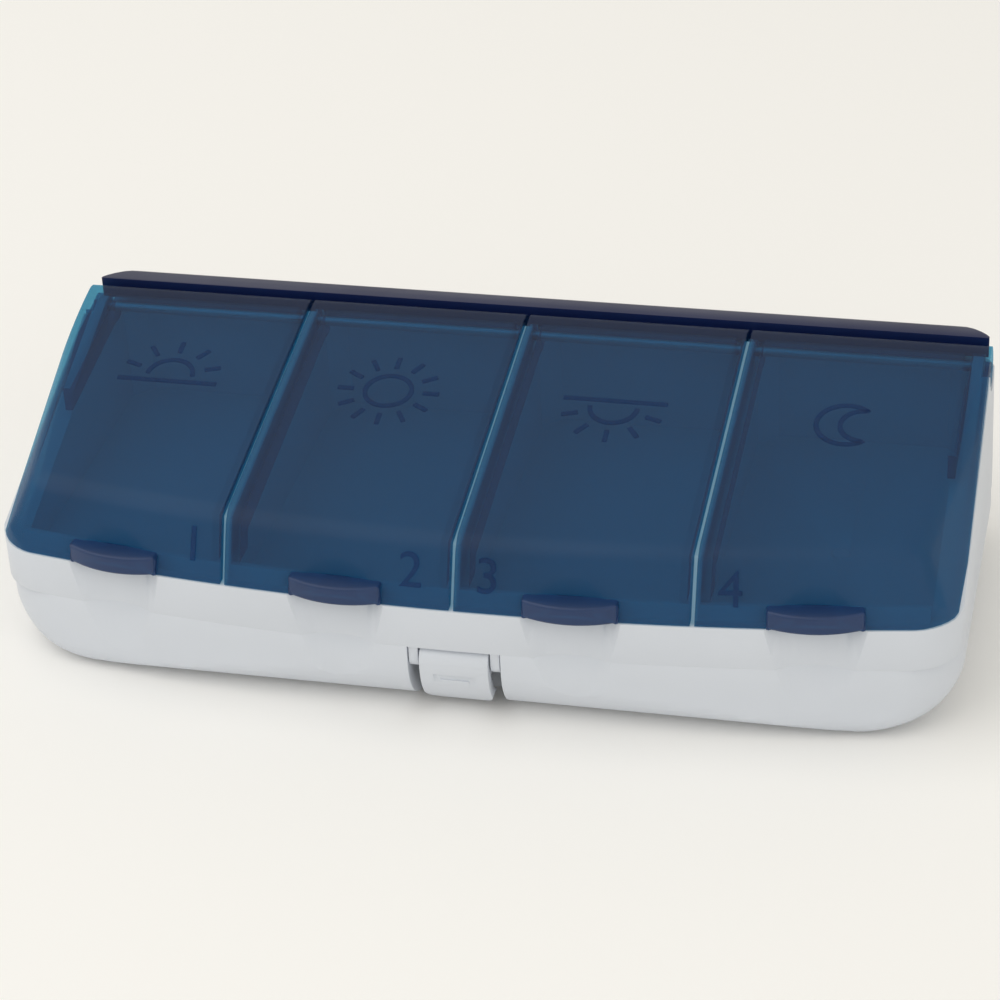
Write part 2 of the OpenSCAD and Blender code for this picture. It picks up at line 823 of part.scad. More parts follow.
// A soft pad on one wall of the V.
module nest_pad(s) {
    z = case_wall_t + vee_floor_t;
    color(soft_grey)
    intersection() {
        translate([0, 0, z])
            linear_extrude(nest_h - vee_floor_t - 0.8)
                difference() {
                    vee(0);
                    vee(pad_t);
                }
        block([blade_x + (s > 0 ? slot_w / 2 + pad_t : -nest_w / 2), nest_front_y + 2, 0],
            [blade_x + (s > 0 ? nest_w / 2 : -slot_w / 2 - pad_t), nest_front_y + vee_d * 0.7, far]);
    }
}

module nest_pad_left() { nest_pad(-1); }
module nest_pad_right() { nest_pad(1); }

module nest_screws() {
    z = case_wall_t + boss_h + 1.6;
    color(steel)
    for (s = [-1, 1])
        translate([blade_x + s * (nest_w + ear_w) / 2, nest_screw_y, 0])
            difference() {
                union() {
                    translate([0, 0, 1]) cylinder(h = z - 1, r = nest_screw_d / 2);
                    translate([0, 0, z]) cylinder(h = 1.3, r = nest_screw_head_d / 2);
                }
                for (a = [0, 90])
                    rotate([0, 0, a]) translate([-1.1, -0.25, z + 0.7]) cube([2.2, 0.5, over]);
            }
}

module blade() {
    edge_h = 1.6;
    color(steel)
    difference() {
        translate([0, blade_y, 0])
            rotate([90, 0, 180])
                linear_extrude(blade_l)
                    polygon([
                        [-blade_x, blade_edge_z], [-blade_x - blade_t / 2, blade_edge_z + edge_h],
                        [-blade_x - blade_t / 2, blade_top_z], [-blade_x + blade_t / 2, blade_top_z],
                        [-blade_x + blade_t / 2, blade_edge_z + edge_h]
                    ]);
        for (y = blade_screw_places())
            rod_x(blade_x - over, blade_x + over, blade_screw_d / 2 + 0.1, y, blade_screw_z);
    }
}

function blade_screw_places() = [blade_y + blade_l / 4, blade_y + blade_l * 3 / 4];
function peg_places() = [blade_y + 2.2, blade_y + blade_l - 2.2];

module blade_holder() {
    x = blade_x + blade_t / 2;
    color(white)
    difference() {
        union() {
            block([x, blade_y - 1, clamp_z], [x + holder_t, blade_y + blade_l + 1, under_z]);
            for (y = peg_places())
                translate([blade_x + holder_t / 2, y, under_z - over])
                    cylinder(h = over + tray_floor_t, r = peg_r);
        }
        for (y = blade_screw_places())
            rod_x(x - over, x + holder_t - 0.8, blade_screw_d / 2 + seat_play, y, blade_screw_z);
    }
}

module blade_clamp() {
    x = blade_x - blade_t / 2;
    color(white)
    difference() {
        block([x - clamp_t, blade_y + 1, clamp_z], [x, blade_y + blade_l - 1, under_z - 0.4]);
        for (y = blade_screw_places())
            rod_x(x - clamp_t - over, x + over, blade_screw_d / 2 + 0.1, y, blade_screw_z);
    }
}

module blade_screws() {
    x = blade_x - blade_t / 2 - clamp_t;
    color(steel)
    for (y = blade_screw_places())
        difference() {
            union() {
                rod_x(x, blade_x + holder_t - 1, blade_screw_d / 2, y, blade_screw_z);
                rod_x(x - 1.4, x, blade_screw_head_d / 2, y, blade_screw_z);
            }
            block([x - 2, y - 1.2, blade_screw_z - 0.25], [x - 0.8, y + 1.2, blade_screw_z + 0.25]);
        }
}

base_case();
tray();
hinge_rail();
lid_1();
lid_2();
lid_3();
lid_4();
lid_hinge_pin();
latch();
latch_pin();
case_hinge_pin_left();
case_hinge_pin_right();
pill_nest();
nest_pad_left();
nest_pad_right();
nest_screws();
blade();
blade_holder();
blade_clamp();
blade_screws();
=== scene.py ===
# %% [markdown]
# # A pill box with a splitter inside
#
# The box is moulded plastic: a white lower case, a white tray hinged on it, and a row of translucent blue lids with
# a blue rail behind them. The sizes, hinges and inner parts come ready from the CAD model, which is loaded first.
# Blender's work here is the surface: rounded edges, moulded relief, and plastics that take the light as real ones do.

# %% Load the model
import json
import math

import bmesh
import bpy
from mathutils import Matrix, Vector


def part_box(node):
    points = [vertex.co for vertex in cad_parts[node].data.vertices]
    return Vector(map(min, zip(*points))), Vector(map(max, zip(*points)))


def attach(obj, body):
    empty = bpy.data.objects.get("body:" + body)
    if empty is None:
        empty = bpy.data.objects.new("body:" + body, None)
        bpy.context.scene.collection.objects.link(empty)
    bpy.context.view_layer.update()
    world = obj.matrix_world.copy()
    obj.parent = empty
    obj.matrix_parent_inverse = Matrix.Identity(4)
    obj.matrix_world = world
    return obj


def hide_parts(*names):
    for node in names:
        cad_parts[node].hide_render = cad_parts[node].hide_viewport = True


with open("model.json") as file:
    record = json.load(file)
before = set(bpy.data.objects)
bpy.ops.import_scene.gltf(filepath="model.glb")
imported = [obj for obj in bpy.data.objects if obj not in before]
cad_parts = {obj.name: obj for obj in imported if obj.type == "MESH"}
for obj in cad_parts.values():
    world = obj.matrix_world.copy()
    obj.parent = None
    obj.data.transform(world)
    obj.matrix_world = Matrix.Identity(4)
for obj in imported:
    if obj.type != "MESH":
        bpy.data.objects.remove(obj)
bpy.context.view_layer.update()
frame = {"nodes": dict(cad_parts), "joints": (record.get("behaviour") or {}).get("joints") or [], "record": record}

MM = 0.001
joints = {joint["name"]: joint for joint in frame["joints"]}

# %% [markdown]
# ## Measures
#
# A visual piece has to meet the CAD parts exactly, so every place is read from the model: a lid's limits from its
# box, a hinge's axis from its joint. Only the moulding details that CAD leaves out get their own sizes, in mm.

# %% Places taken from the model
LIDS = ["lid_1", "lid_2", "lid_3", "lid_4"]
LID_BODIES = ["lid_one", "lid_two", "lid_three", "lid_four"]
high = Vector(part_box("base_case")[1])
half_length = high.x
rear_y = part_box("hinge_rail")[1][1]
front_y = -rear_y
part_z = joints["case_open"]["pos_m"][2]
lid_bottom_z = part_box("lid_2")[0][2]
hinge_y, hinge_z = joints["lid_1_open"]["pos_m"][1:]
top_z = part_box("lid_2")[1][2]
pitch = (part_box("lid_3")[0][0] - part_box("lid_2")[1][0]) / 2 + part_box("lid_3")[1][0]
print("parting line at", round(part_z / MM, 2), "mm, lid hinge at", round(hinge_z / MM, 2), "mm")

# %% Shape of the case, as the CAD model has it
BOW_R = 417 * MM
BOTTOM_R = 10 * MM
BOW_EDGE_R = 4 * MM
CORNER_R = 9 * MM
SIDE_DRAFT = math.radians(1.7)
INSIDE_CAD = 0.02 * MM
SLOPE = math.radians(9)
LEAN = math.radians(22)
FACET_TILT = math.radians(27.3)
FACET_YAW = math.radians(13.1)
bow_y = front_y + BOW_R


# %% [markdown]
# ## Small tools for meshes
#
# A few tools do most of the modelling. One makes a clean copy of a CAD mesh, whose triangles arrive loose: the copy
# is merged and its flat regions are joined again. One runs an exact boolean. One rounds edges. One takes an object
# with modifiers and gives back the plain mesh, so that nothing is left live.

# %% Clean copies, booleans and rounding
def new_piece(name, mesh):
    """An object at the origin that holds the mesh."""
    piece = bpy.data.objects.new(name, mesh)
    bpy.context.scene.collection.objects.link(piece)
    return piece


def mesh_from(name, verts, faces):
    """A closed mesh with its faces pointing outwards."""
    mesh = bpy.data.meshes.new(name)
    mesh.from_pydata([tuple(v) for v in verts], [], faces)
    bm = bmesh.new()
    bm.from_mesh(mesh)
    bmesh.ops.recalc_face_normals(bm, faces=bm.faces)
    bm.to_mesh(mesh)
    bm.free()
    return mesh


def cad_copy(node, name):
    """A merged copy of a CAD node's mesh, with its flat regions joined into single faces."""
    bm = bmesh.new()
    bm.from_mesh(frame["nodes"][node].data)
    bmesh.ops.remove_doubles(bm, verts=bm.verts, dist=0.002 * MM)
    bmesh.ops.dissolve_limit(bm, angle_limit=math.radians(0.4), verts=bm.verts, edges=bm.edges)
    mesh = bpy.data.meshes.new(name)
    bm.to_mesh(mesh)
    bm.free()
    return new_piece(name, mesh)


def settle(piece):
    """Turns a piece's modifiers into plain mesh."""
    evaluated = piece.evaluated_get(bpy.context.evaluated_depsgraph_get())
    mesh = bpy.data.meshes.new_from_object(evaluated)
    piece.modifiers.clear()
    piece.data = mesh
    return piece


def combine(piece, tool, operation):
    """A boolean with another closed mesh, which is used up. This solver always leaves a closed mesh."""
    modifier = piece.modifiers.new("boolean", "BOOLEAN")
    modifier.operation = operation
    modifier.solver = "MANIFOLD"
    modifier.object = tool
    bpy.context.view_layer.update()
    settle(piece)
    bpy.data.objects.remove(tool)
    return piece


def soften(piece, width, angle=35, segments=2):
    """Rounds every edge sharper than the angle, as a mould leaves it."""
    modifier = piece.modifiers.new("edges", "BEVEL")
    modifier.width = width
    modifier.segments = segments
    modifier.limit_method = "ANGLE"
    modifier.angle_limit = math.radians(angle)
    modifier.miter_outer = "MITER_ARC"
    bpy.context.view_layer.update()
    return settle(piece)


def shade(piece, angle=32):
    """Smooth shading that keeps real edges crisp."""
    piece.data.shade_smooth()
    piece.data.set_sharp_from_angle(angle=math.radians(angle))
    return piece


# %% [markdown]
# ## Colours and a way to write materials
#
# Colours are picked as sRGB hex values, as on screen, and one function turns them to the linear values that a
# shader needs. A material is a small graph, and one function adds a node with its settings and links, so that each
# material below reads as a short list.

# %% Colour and node helpers
def linear(hex_colour):
    """An sRGB hex value as linear RGBA."""
    channels = [int(hex_colour[i:i + 2], 16) / 255 for i in (1, 3, 5)]
    return tuple(c / 12.92 if c <= 0.04045 else ((c + 0.055) / 1.055) ** 2.4 for c in channels) + (1.0,)


def add(tree, kind, settings=None, links=None):
    """Adds a node. settings are its properties, or its inputs by name or number. links are sockets to feed in."""
    node = tree.nodes.new(kind)
    for key, value in (settings or {}).items():
        if isinstance(key, int) or key in node.inputs:
            node.inputs[key].default_value = value
        else:
            setattr(node, key, value)
    for key, socket in (links or {}).items():
        tree.links.new(socket, node.inputs[key])
    return node


def new_material(name):
    """An empty material and its graph."""
    material = bpy.data.materials.new(name)
    material.use_nodes = True
    material.node_tree.nodes.clear()
    return material, material.node_tree


def moulded(name, colour, deeper, roughness, grain_mm, grain_height_mm, settings):
    """A moulded plastic: a spark-eroded grain as bump, and a slight cloud of colour and gloss from the melt's flow."""
    material, tree = new_material(name)
    place = add(tree, "ShaderNodeTexCoord").outputs["Object"]
    grain = add(tree, "ShaderNodeTexNoise", {"Scale": 1 / (grain_mm * MM), "Detail": 2.0}, {"Vector": place})
    flow = add(tree, "ShaderNodeTexNoise", {"Scale": 1 / (22 * MM), "Detail": 3.0}, {"Vector": place})
    colour_mix = add(tree, "ShaderNodeMix", {"data_type": "RGBA", 6: linear(colour), 7: linear(deeper)},
        {"Factor": flow.outputs["Fac"]})
    gloss = add(tree, "ShaderNodeMapRange",
        {"From Min": 0.3, "From Max": 0.7, "To Min": roughness - 0.05, "To Max": roughness + 0.05},
        {"Value": flow.outputs["Fac"]})
    bump = add(tree, "ShaderNodeBump", {"Strength": 0.5, "Distance": grain_height_mm * MM},
        {"Height": grain.outputs["Fac"]})
    shader = add(tree, "ShaderNodeBsdfPrincipled", settings,
        {"Base Color": colour_mix.outputs[2], "Roughness": gloss.outputs["Result"], "Normal": bump.outputs["Normal"]})
    add(tree, "ShaderNodeOutputMaterial", links={"Surface": shader.outputs["BSDF"]})
    return material


# %% [markdown]
# ## White ABS
#
# The case, the tray and the latch are moulded in white ABS. It is opaque, a little cool, and satin: the mould was
# spark-eroded to a fine grain, so highlights are broad and soft. The real grain is about 0.1 mm, too fine to show,
# so it is drawn three times coarser.

# %% White and grey ABS
white_abs = moulded("white satin ABS", "#D0D5DD", "#C9CED6", 0.42, 0.3, 0.012, {"IOR": 1.53})
grey_abs = moulded("grey satin ABS", "#B4BBC3", "#A8B0B8", 0.45, 0.3, 0.012, {"IOR": 1.53})

# %% [markdown]
# ## Translucent blue polypropylene
#
# The lids are dark blue and let some light through, so the ribs under them show as dark bands and the white tray
# brightens the skin between. Real refraction would be slow and noisy in so thin a skin, and the eye can't tell:
# a dark, satin surface is mixed with a tinted see-through layer. Light crosses two faces of each skin, so each face
# is tinted for half of the way.

# %% Blue PP
def translucent(name, colour, deeper, tint, opacity, roughness, gleam=0.5):
    """A satin, coloured surface over a tinted view of what lies beneath. gleam is the strength of its reflection."""
    material, tree = new_material(name)
    place = add(tree, "ShaderNodeTexCoord").outputs["Object"]
    grain = add(tree, "ShaderNodeTexNoise", {"Scale": 1 / (0.35 * MM), "Detail": 2.0}, {"Vector": place})
    flow = add(tree, "ShaderNodeTexNoise", {"Scale": 1 / (18 * MM), "Detail": 3.0}, {"Vector": place})
    colour_mix = add(tree, "ShaderNodeMix", {"data_type": "RGBA", 6: linear(colour), 7: linear(deeper)},
        {"Factor": flow.outputs["Fac"]})
    gloss = add(tree, "ShaderNodeMapRange",
        {"From Min": 0.3, "From Max": 0.7, "To Min": roughness - 0.04, "To Max": roughness + 0.04},
        {"Value": flow.outputs["Fac"]})
    bump = add(tree, "ShaderNodeBump", {"Strength": 0.4, "Distance": 0.01 * MM}, {"Height": grain.outputs["Fac"]})
    shader = add(tree, "ShaderNodeBsdfPrincipled", {"IOR": 1.49, "Specular IOR Level": gleam},
        {"Base Color": colour_mix.outputs[2], "Roughness": gloss.outputs["Result"], "Normal": bump.outputs["Normal"]})
    through = add(tree, "ShaderNodeBsdfTransparent", {"Color": linear(tint)})
    mixed = add(tree, "ShaderNodeMixShader", {"Fac": opacity}, {1: through.outputs[0], 2: shader.outputs["BSDF"]})
    add(tree, "ShaderNodeOutputMaterial", links={"Surface": mixed.outputs[0]})
    return material


blue_pp = translucent("translucent blue polypropylene", "#333F5C", "#2F3B55", "#A0E9FF", 0.4, 0.38, gleam=0.42)
blue_pp_relief = translucent("raised blue polypropylene", "#2B3454", "#28304E", "#C8ECFF", 0.25, 0.34)
blue_pp_thick = translucent("blue polypropylene at the finger tabs", "#223A64", "#1F355C", "#5FA8D8", 0.8, 0.34)
# The rail's blue is partly real, since its thicker plastic lets less light through, and partly painted shade: its base
# colour is darkened to give the rear-facing band behind the ridge a shaded look.
blue_pp_solid_painted_shade = translucent("thick blue polypropylene with painted shade", "#121E4A", "#101A42", "#3F84AD", 0.95, 0.36, gleam=0.3)

# %% [markdown]
# ## Metals and the soft pads
#
# The pins are drawn steel wire, with faint lines along the draw. The screws are the same steel, turned. The blade is
# ground stainless strip: its grinding lines run across the strip, which spreads the highlight. The pads are a soft
# elastomer, matt, with a fine pebble that grips a tablet.

# %% Steel and elastomer
def metal(name, colour, roughness, line_mm, stretch):
    """A metal with fine lines. stretch is how much longer the lines run along X, Y and Z."""
    material, tree = new_material(name)
    place = add(tree, "ShaderNodeTexCoord").outputs["Object"]
    drawn = add(tree, "ShaderNodeMapping", {"Scale": [1 / s for s in stretch]}, {"Vector": place})
    lines = add(tree, "ShaderNodeTexNoise", {"Scale": 1 / (line_mm * MM), "Detail": 2.0},
        {"Vector": drawn.outputs["Vector"]})
    gloss = add(tree, "ShaderNodeMapRange", {"To Min": roughness - 0.08, "To Max": roughness + 0.08},
        {"Value": lines.outputs["Fac"]})
    bump = add(tree, "ShaderNodeBump", {"Strength": 0.3, "Distance": 0.004 * MM}, {"Height": lines.outputs["Fac"]})
    shader = add(tree, "ShaderNodeBsdfPrincipled", {"Base Color": linear(colour), "Metallic": 1.0},
        {"Roughness": gloss.outputs["Result"], "Normal": bump.outputs["Normal"]})
    add(tree, "ShaderNodeOutputMaterial", links={"Surface": shader.outputs["BSDF"]})
    return material


drawn_steel = metal("drawn steel wire", "#B9BCC0", 0.3, 0.15, (40, 1, 1))
turned_steel = metal("turned steel", "#B0B3B8", 0.34, 0.12, (1, 1, 12))
ground_steel = metal("ground stainless blade steel", "#C8CBCE", 0.24, 0.12, (1, 1, 30))
elastomer = moulded("soft grey elastomer", "#6E7375", "#646A6C", 0.7, 0.5, 0.05, {"IOR": 1.45})
FINISHES = {
    "white_abs": white_abs, "grey_abs": grey_abs, "blue_pp": blue_pp, "steel": drawn_steel,
    "blade_steel": ground_steel, "soft_pad": elastomer,
}
print("finishes:", sorted(FINISHES))


# %% Dress a finished piece
def finish_piece(piece, body, slot, node=None, material=None):
    """Gives a piece its material, looked up by its slot unless one is given, puts it on its body, and hides the CAD
    node it replaces.
    """
    piece.data.materials.clear()
    piece.data.materials.append(material or FINISHES[slot])
    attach(piece, body)
    if node:
        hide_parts(node)
    print(piece.name, "has", len(piece.data.polygons), "faces")
    return piece


# %% [markdown]
# ## The lower case
#
# The outside of the lower case is one smooth tub: its front bows, its corners are round in plan, and large
# roundings run all the way under its edge, corners included. CAD makes each rounding separately, which leaves a
# mitre where two of them meet. Here the tub is lofted instead, as a stack of outlines. An outline is found by
# asking, along many directions, how far out the tub reaches, and where two sides meet the answer is rounded off.
# It stays a hair inside the CAD surface, so that the trim never has to cut along two faces that coincide.
# The CAD copy, with its catch, bosses and hinge knuckles, is then trimmed to the loft.

# %% Outline of the case at one height
def arc_points(x, y, radius, start, end, steps):
    """Points along an arc, angles in radians."""
    turn = [start + (end - start) * i / steps for i in range(steps + 1)]
    return [(x + radius * math.cos(a), y + radius * math.sin(a)) for a in turn]


def drawn_in(radius, z):
    """How far a bottom rounding has drawn a wall in at a height."""
    below = max(radius - z, 0)
    return radius - math.sqrt(radius ** 2 - below ** 2)


def rounded_corner(first, second):
    """Distance outside two walls that meet in a round corner."""
    sharp = min(-CORNER_R, max(first, second))
    return sharp + math.hypot(max(first + CORNER_R, 0), max(second + CORNER_R, 0))


def distance_outside(x, y, z):
    """How far a point lies outside the case, negative inside."""
    inset = drawn_in(BOTTOM_R, z) + INSIDE_CAD
    bow = math.hypot(x, y - bow_y) - (BOW_R - drawn_in(BOW_EDGE_R, z)) + INSIDE_CAD
    front = max(bow, front_y + inset - y)
    rear = y - (rear_y - inset)
    end = abs(x) - (half_length - inset - max(z - BOTTOM_R, 0) * math.tan(SIDE_DRAFT))
    return max(rounded_corner(front, end), rounded_corner(rear, end))


def outline(z, count=320):
    """The case's outline at a height, each point found by halving the range it must lie in."""
    points = []
    for i in range(count):
        turn = 2 * math.pi * i / count
        x, y = half_length * math.cos(turn), rear_y * math.sin(turn)
        near, beyond = 0.2, 1.6
        for _ in range(24):
            middle = (near + beyond) / 2
            if distance_outside(x * middle, y * middle, z) < 0:
                near = middle
            else:
                beyond = middle
        points.append((x * near, y * near))
    return points


def stack(name, rings):
    """A closed solid through rings of equal length, from the bottom up."""
    count = len(rings[0][1])
    verts = [(x, y, z) for z, ring in rings for x, y in ring]
    faces = [list(range(count)), [len(verts) - 1 - i for i in range(count)]]
    for level in range(len(rings) - 1):
        start = level * count
        for i in range(count):
            j = (i + 1) % count
            faces.append([start + i, start + j, start + count + j, start + count + i])
    return new_piece(name, mesh_from(name, verts, faces))


def block(name, corner_low, corner_high):
    """A closed box between two corners."""
    verts = [(x, y, z) for z in (corner_low[2], corner_high[2]) for y in (corner_low[1], corner_high[1])
        for x in (corner_low[0], corner_high[0])]
    faces = [(0, 1, 3, 2), (4, 6, 7, 5), (0, 4, 5, 1), (2, 3, 7, 6), (0, 2, 6, 4), (1, 5, 7, 3)]
    return new_piece(name, mesh_from(name, verts, faces))


# %% Loft the tub
BOTTOM_STEPS = 14
tub_top = part_z + 5 * MM
rings = []
for step in range(BOTTOM_STEPS + 1):
    z = BOTTOM_R * (1 - math.cos(math.pi / 2 * step / BOTTOM_STEPS))
    rings.append((z + (INSIDE_CAD if step == 0 else 0), outline(z)))
rings.append((tub_top, outline(tub_top)))
tub = stack("tub", rings)
pin_low, pin_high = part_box("case_hinge_pin_right")
for side in (-1, 1):
    near, far = sorted((side * (pin_low[0] - 2 * MM), side * (pin_high[0] + 2 * MM)))
    room = block("knuckle_room", (near, rear_y - 3 * MM, part_z - 4 * MM), (far, high.y + MM, high.z + MM))
    combine(tub, room, "UNION")
print("tub has", len(tub.data.polygons), "faces")

# %% Trim the CAD copy to the tub and round its edges
base = combine(cad_copy("base_case", "lower_case"), tub, "INTERSECT")
soften(base, 0.3 * MM)
finish_piece(shade(base), "base", "white_abs", "base_case")

# %% [markdown]
# ## The tray and the rail
#
# The tray's bins, partitions, ears and shoulders all have a working shape in CAD, so the copy keeps them, and only
# its edges are rounded. The small radius on the rim is what catches the light along the parting line. The rail is
# treated the same way, with a larger radius.

# %% Tray and rail
tray = soften(cad_copy("tray", "bin_tray"), 0.25 * MM)
finish_piece(shade(tray), "tray_body", "white_abs", "tray")
rail = soften(cad_copy("hinge_rail", "rear_rail"), 0.5 * MM, segments=3)
# The rail gets the darker blue, which holds painted shade as well as the depth of thicker plastic.
finish_piece(shade(rail), "tray_body", "blue_pp", "hinge_rail", blue_pp_solid_painted_shade)

# %% [markdown]
# ## The latch
#
# The tongue of the latch ends in two round corners, as a flexing tongue should: a sharp corner would crack and
# catch on a pocket. They are cut by keeping only what lies inside a bar with the rounded outline.

# %% Latch
TONGUE_CORNER_R = 3.2 * MM


def tongue_outline():
    """The tongue seen from the front, with its two lower corners rounded, as a solid bar along Y."""
    radius, gap = TONGUE_CORNER_R, 0.01 * MM
    latch_low, latch_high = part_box("latch")
    half = latch_high[0] + gap
    bottom, top = latch_low[2] + gap, latch_high[2] + MM
    ring = arc_points(half - radius, bottom + radius, radius, -math.pi / 2, 0, 10) + [(half, top), (-half, top)]
    ring += arc_points(radius - half, bottom + radius, radius, math.pi, 1.5 * math.pi, 10)
    piece = stack("tongue_outline", [(-0.1, ring), (0.1, ring)])
    piece.data.transform(Matrix.Rotation(math.pi / 2, 4, "X"))
    return piece


latch = cad_copy("latch", "latch_tongue")
combine(latch, tongue_outline(), "INTERSECT")
soften(latch, 0.3 * MM)
finish_piece(shade(latch), "latch_lever", "white_abs", "latch")

# %% [markdown]
# ## The lids
#
# Each lid is a thin skin with ribs under it. Its outer edges, at the crease and round the flat side faces of the end
# lids, have a generous radius, and the inner edges hardly any. So the outer edges are found first, by the way the
# faces on both sides of them look, and rounded by themselves.

# %% Find and round a lid's outer edges
OUTER_EDGE_R = 2.2 * MM
INNER_EDGE_R = 0.15 * MM
TOP_LOOKS = Vector((0, -math.sin(SLOPE), math.cos(SLOPE)))


def outer_side(normal):
    """Which outer side of a lid a face belongs to, or None for an inner face or an edge face."""
    if normal.dot(TOP_LOOKS) > 0.999:
        return "top"
    if abs(normal.z - math.sin(LEAN)) < 0.02 and normal.y < -0.85:
        return "front"
    level = math.cos(FACET_TILT)
    for side in (-1, 1):
        looks = Vector((side * level * math.cos(FACET_YAW), -level * math.sin(FACET_YAW), math.sin(FACET_TILT)))
        if normal.dot(looks) > 0.999:
            return "end"
    return None


def round_outer_edges(piece, radius):
    """Rounds the edges between a lid's outer sides."""
    bm = bmesh.new()
    bm.from_mesh(piece.data)
    edges = []
    for edge in bm.edges:
        if len(edge.link_faces) == 2:
            sides = {outer_side(face.normal) for face in edge.link_faces}
            if len(sides) == 2 and None not in sides:
                edges.append(edge)
    bmesh.ops.bevel(bm, geom=edges, offset=radius, offset_type="OFFSET", segments=8, profile=0.5,
        affect="EDGES", clamp_overlap=False)
    bmesh.ops.recalc_face_normals(bm, faces=bm.faces)
    bm.to_mesh(piece.data)
    bm.free()
    print(piece.name, "has", len(edges), "outer edges")


# %% [markdown]
# ## Finger tabs
#
# A fingertip lifts each lid by a lip at its lower edge. Above the lip the face is dished, so that the finger finds
# it. The dish is a shallow slice of a large ball, taken out of the skin, and the lip is a slice of an upright
# cylinder with rounded edges, joined on. Both are drawn at the middle of the front and swung round the bow. The
# lip is solid plastic, so it gets a material that lets less light through than the thin skin does.

# %% Dish and lip of one lid
TAB_WIDTH = 14.4 * MM
TAB_OUT = 1.57 * MM
TAB_HEIGHT = 3.2 * MM
DISH_DEPTH = 1.1 * MM
DISH_HALF = 6.2 * MM
DISH_R = (DISH_HALF ** 2 + DISH_DEPTH ** 2) / (2 * DISH_DEPTH)


def on_bow(x):
    """Moves what is drawn at the middle of the front to where the bow passes x."""
    swing = Matrix.Rotation(math.asin(x / BOW_R), 4, "Z")
    centre = Matrix.Translation((0, bow_y, 0))
    return centre @ swing @ centre.inverted()


def ball(name, centre, radius):
    """A finely divided ball, for cutting."""
    bm = bmesh.new()
    bmesh.ops.create_uvsphere(bm, u_segments=160, v_segments=120, radius=radius)
    bmesh.ops.transform(bm, matrix=Matrix.Translation(centre), verts=bm.verts)
    mesh = bpy.data.meshes.new(name)
    bm.to_mesh(mesh)
    bm.free()
    return new_piece(name, mesh)


def dish_centre():
    """The middle of the ball that dishes a lid's front, at the middle of the bow."""
    face = Vector((0, front_y + 0.3 * MM, lid_bottom_z + 0.4 * MM))
    looks = Vector((0, -math.cos(LEAN), math.sin(LEAN)))
    return face + looks * (DISH_R - DISH_DEPTH)


def finger_dish(x):
    """The ball that dishes a lid's front, in place."""
    piece = ball("dish", dish_centre(), DISH_R)
    piece.data.transform(on_bow(x))
    return piece


def finger_lip(x):
    """The lip at a lid's lower edge, in place."""
    radius = ((TAB_WIDTH / 2) ** 2 + TAB_OUT ** 2) / (2 * TAB_OUT)
    swing = math.asin(TAB_WIDTH / 2 / radius)
    centre_y = front_y - TAB_OUT + radius
    edge = arc_points(0, centre_y, radius, -math.pi / 2 - swing, -math.pi / 2 + swing, 24)
    levels = []
    for height in (0, TAB_HEIGHT):
        inner_y = front_y + 1.0 * MM + height * math.tan(LEAN)
        ring = edge + [(TAB_WIDTH / 2, inner_y), (-TAB_WIDTH / 2, inner_y)]
        levels.append((lid_bottom_z + height, ring))
    piece = stack("lip", levels)
    soften(piece, 0.5 * MM, angle=40, segments=3)
    piece.data.transform(on_bow(x))
    return piece


def thicken_lip(lid):
    """Gives a lid's lip the material of thicker plastic."""
    lid.data.materials.append(blue_pp_thick)
    for face in lid.data.polygons:
        above = face.center.z - lid_bottom_z
        from_bow = math.hypot(face.center.x, face.center.y - bow_y)
        if above < TAB_HEIGHT + 0.1 * MM and from_bow > BOW_R + 0.02 * MM - above * math.tan(LEAN):
            face.material_index = 1


# %% Make the four lids
lid_middles = [pitch * (i - 1.5) for i in range(4)]
for name, body, x in zip(LIDS, LID_BODIES, lid_middles):
    lid = cad_copy(name, name + "_skin")
    round_outer_edges(lid, OUTER_EDGE_R)
    soften(lid, INNER_EDGE_R, angle=50, segments=1)
    combine(lid, finger_dish(x), "DIFFERENCE")
    combine(lid, finger_lip(x), "UNION")
    finish_piece(shade(lid, 13), body, "blue_pp", name)
    thicken_lip(lid)

# %% [markdown]
# ## Day icons
#
# The lid tops carry a raised sunrise, noon sun, sunset and moon, to tell the doses of a day apart. A sun is a ring
# with rays round it. The rays repeat at an even step, so Geometry Nodes set them out: one bar, placed on as many
# points as there are rays, each turned to face outwards. The tree is built once and used for all three suns.

# %% Geometry Nodes tree that sets out rays
def math_node(tree, operation, first, second):
    """A math node on two sockets or numbers."""
    node = tree.nodes.new("ShaderNodeMath")
    node.operation = operation
    for number, value in enumerate((first, second)):
        if isinstance(value, (int, float)):
            node.inputs[number].default_value = value
        elif value is not None:
            tree.links.new(value, node.inputs[number])
    return node.outputs[0]


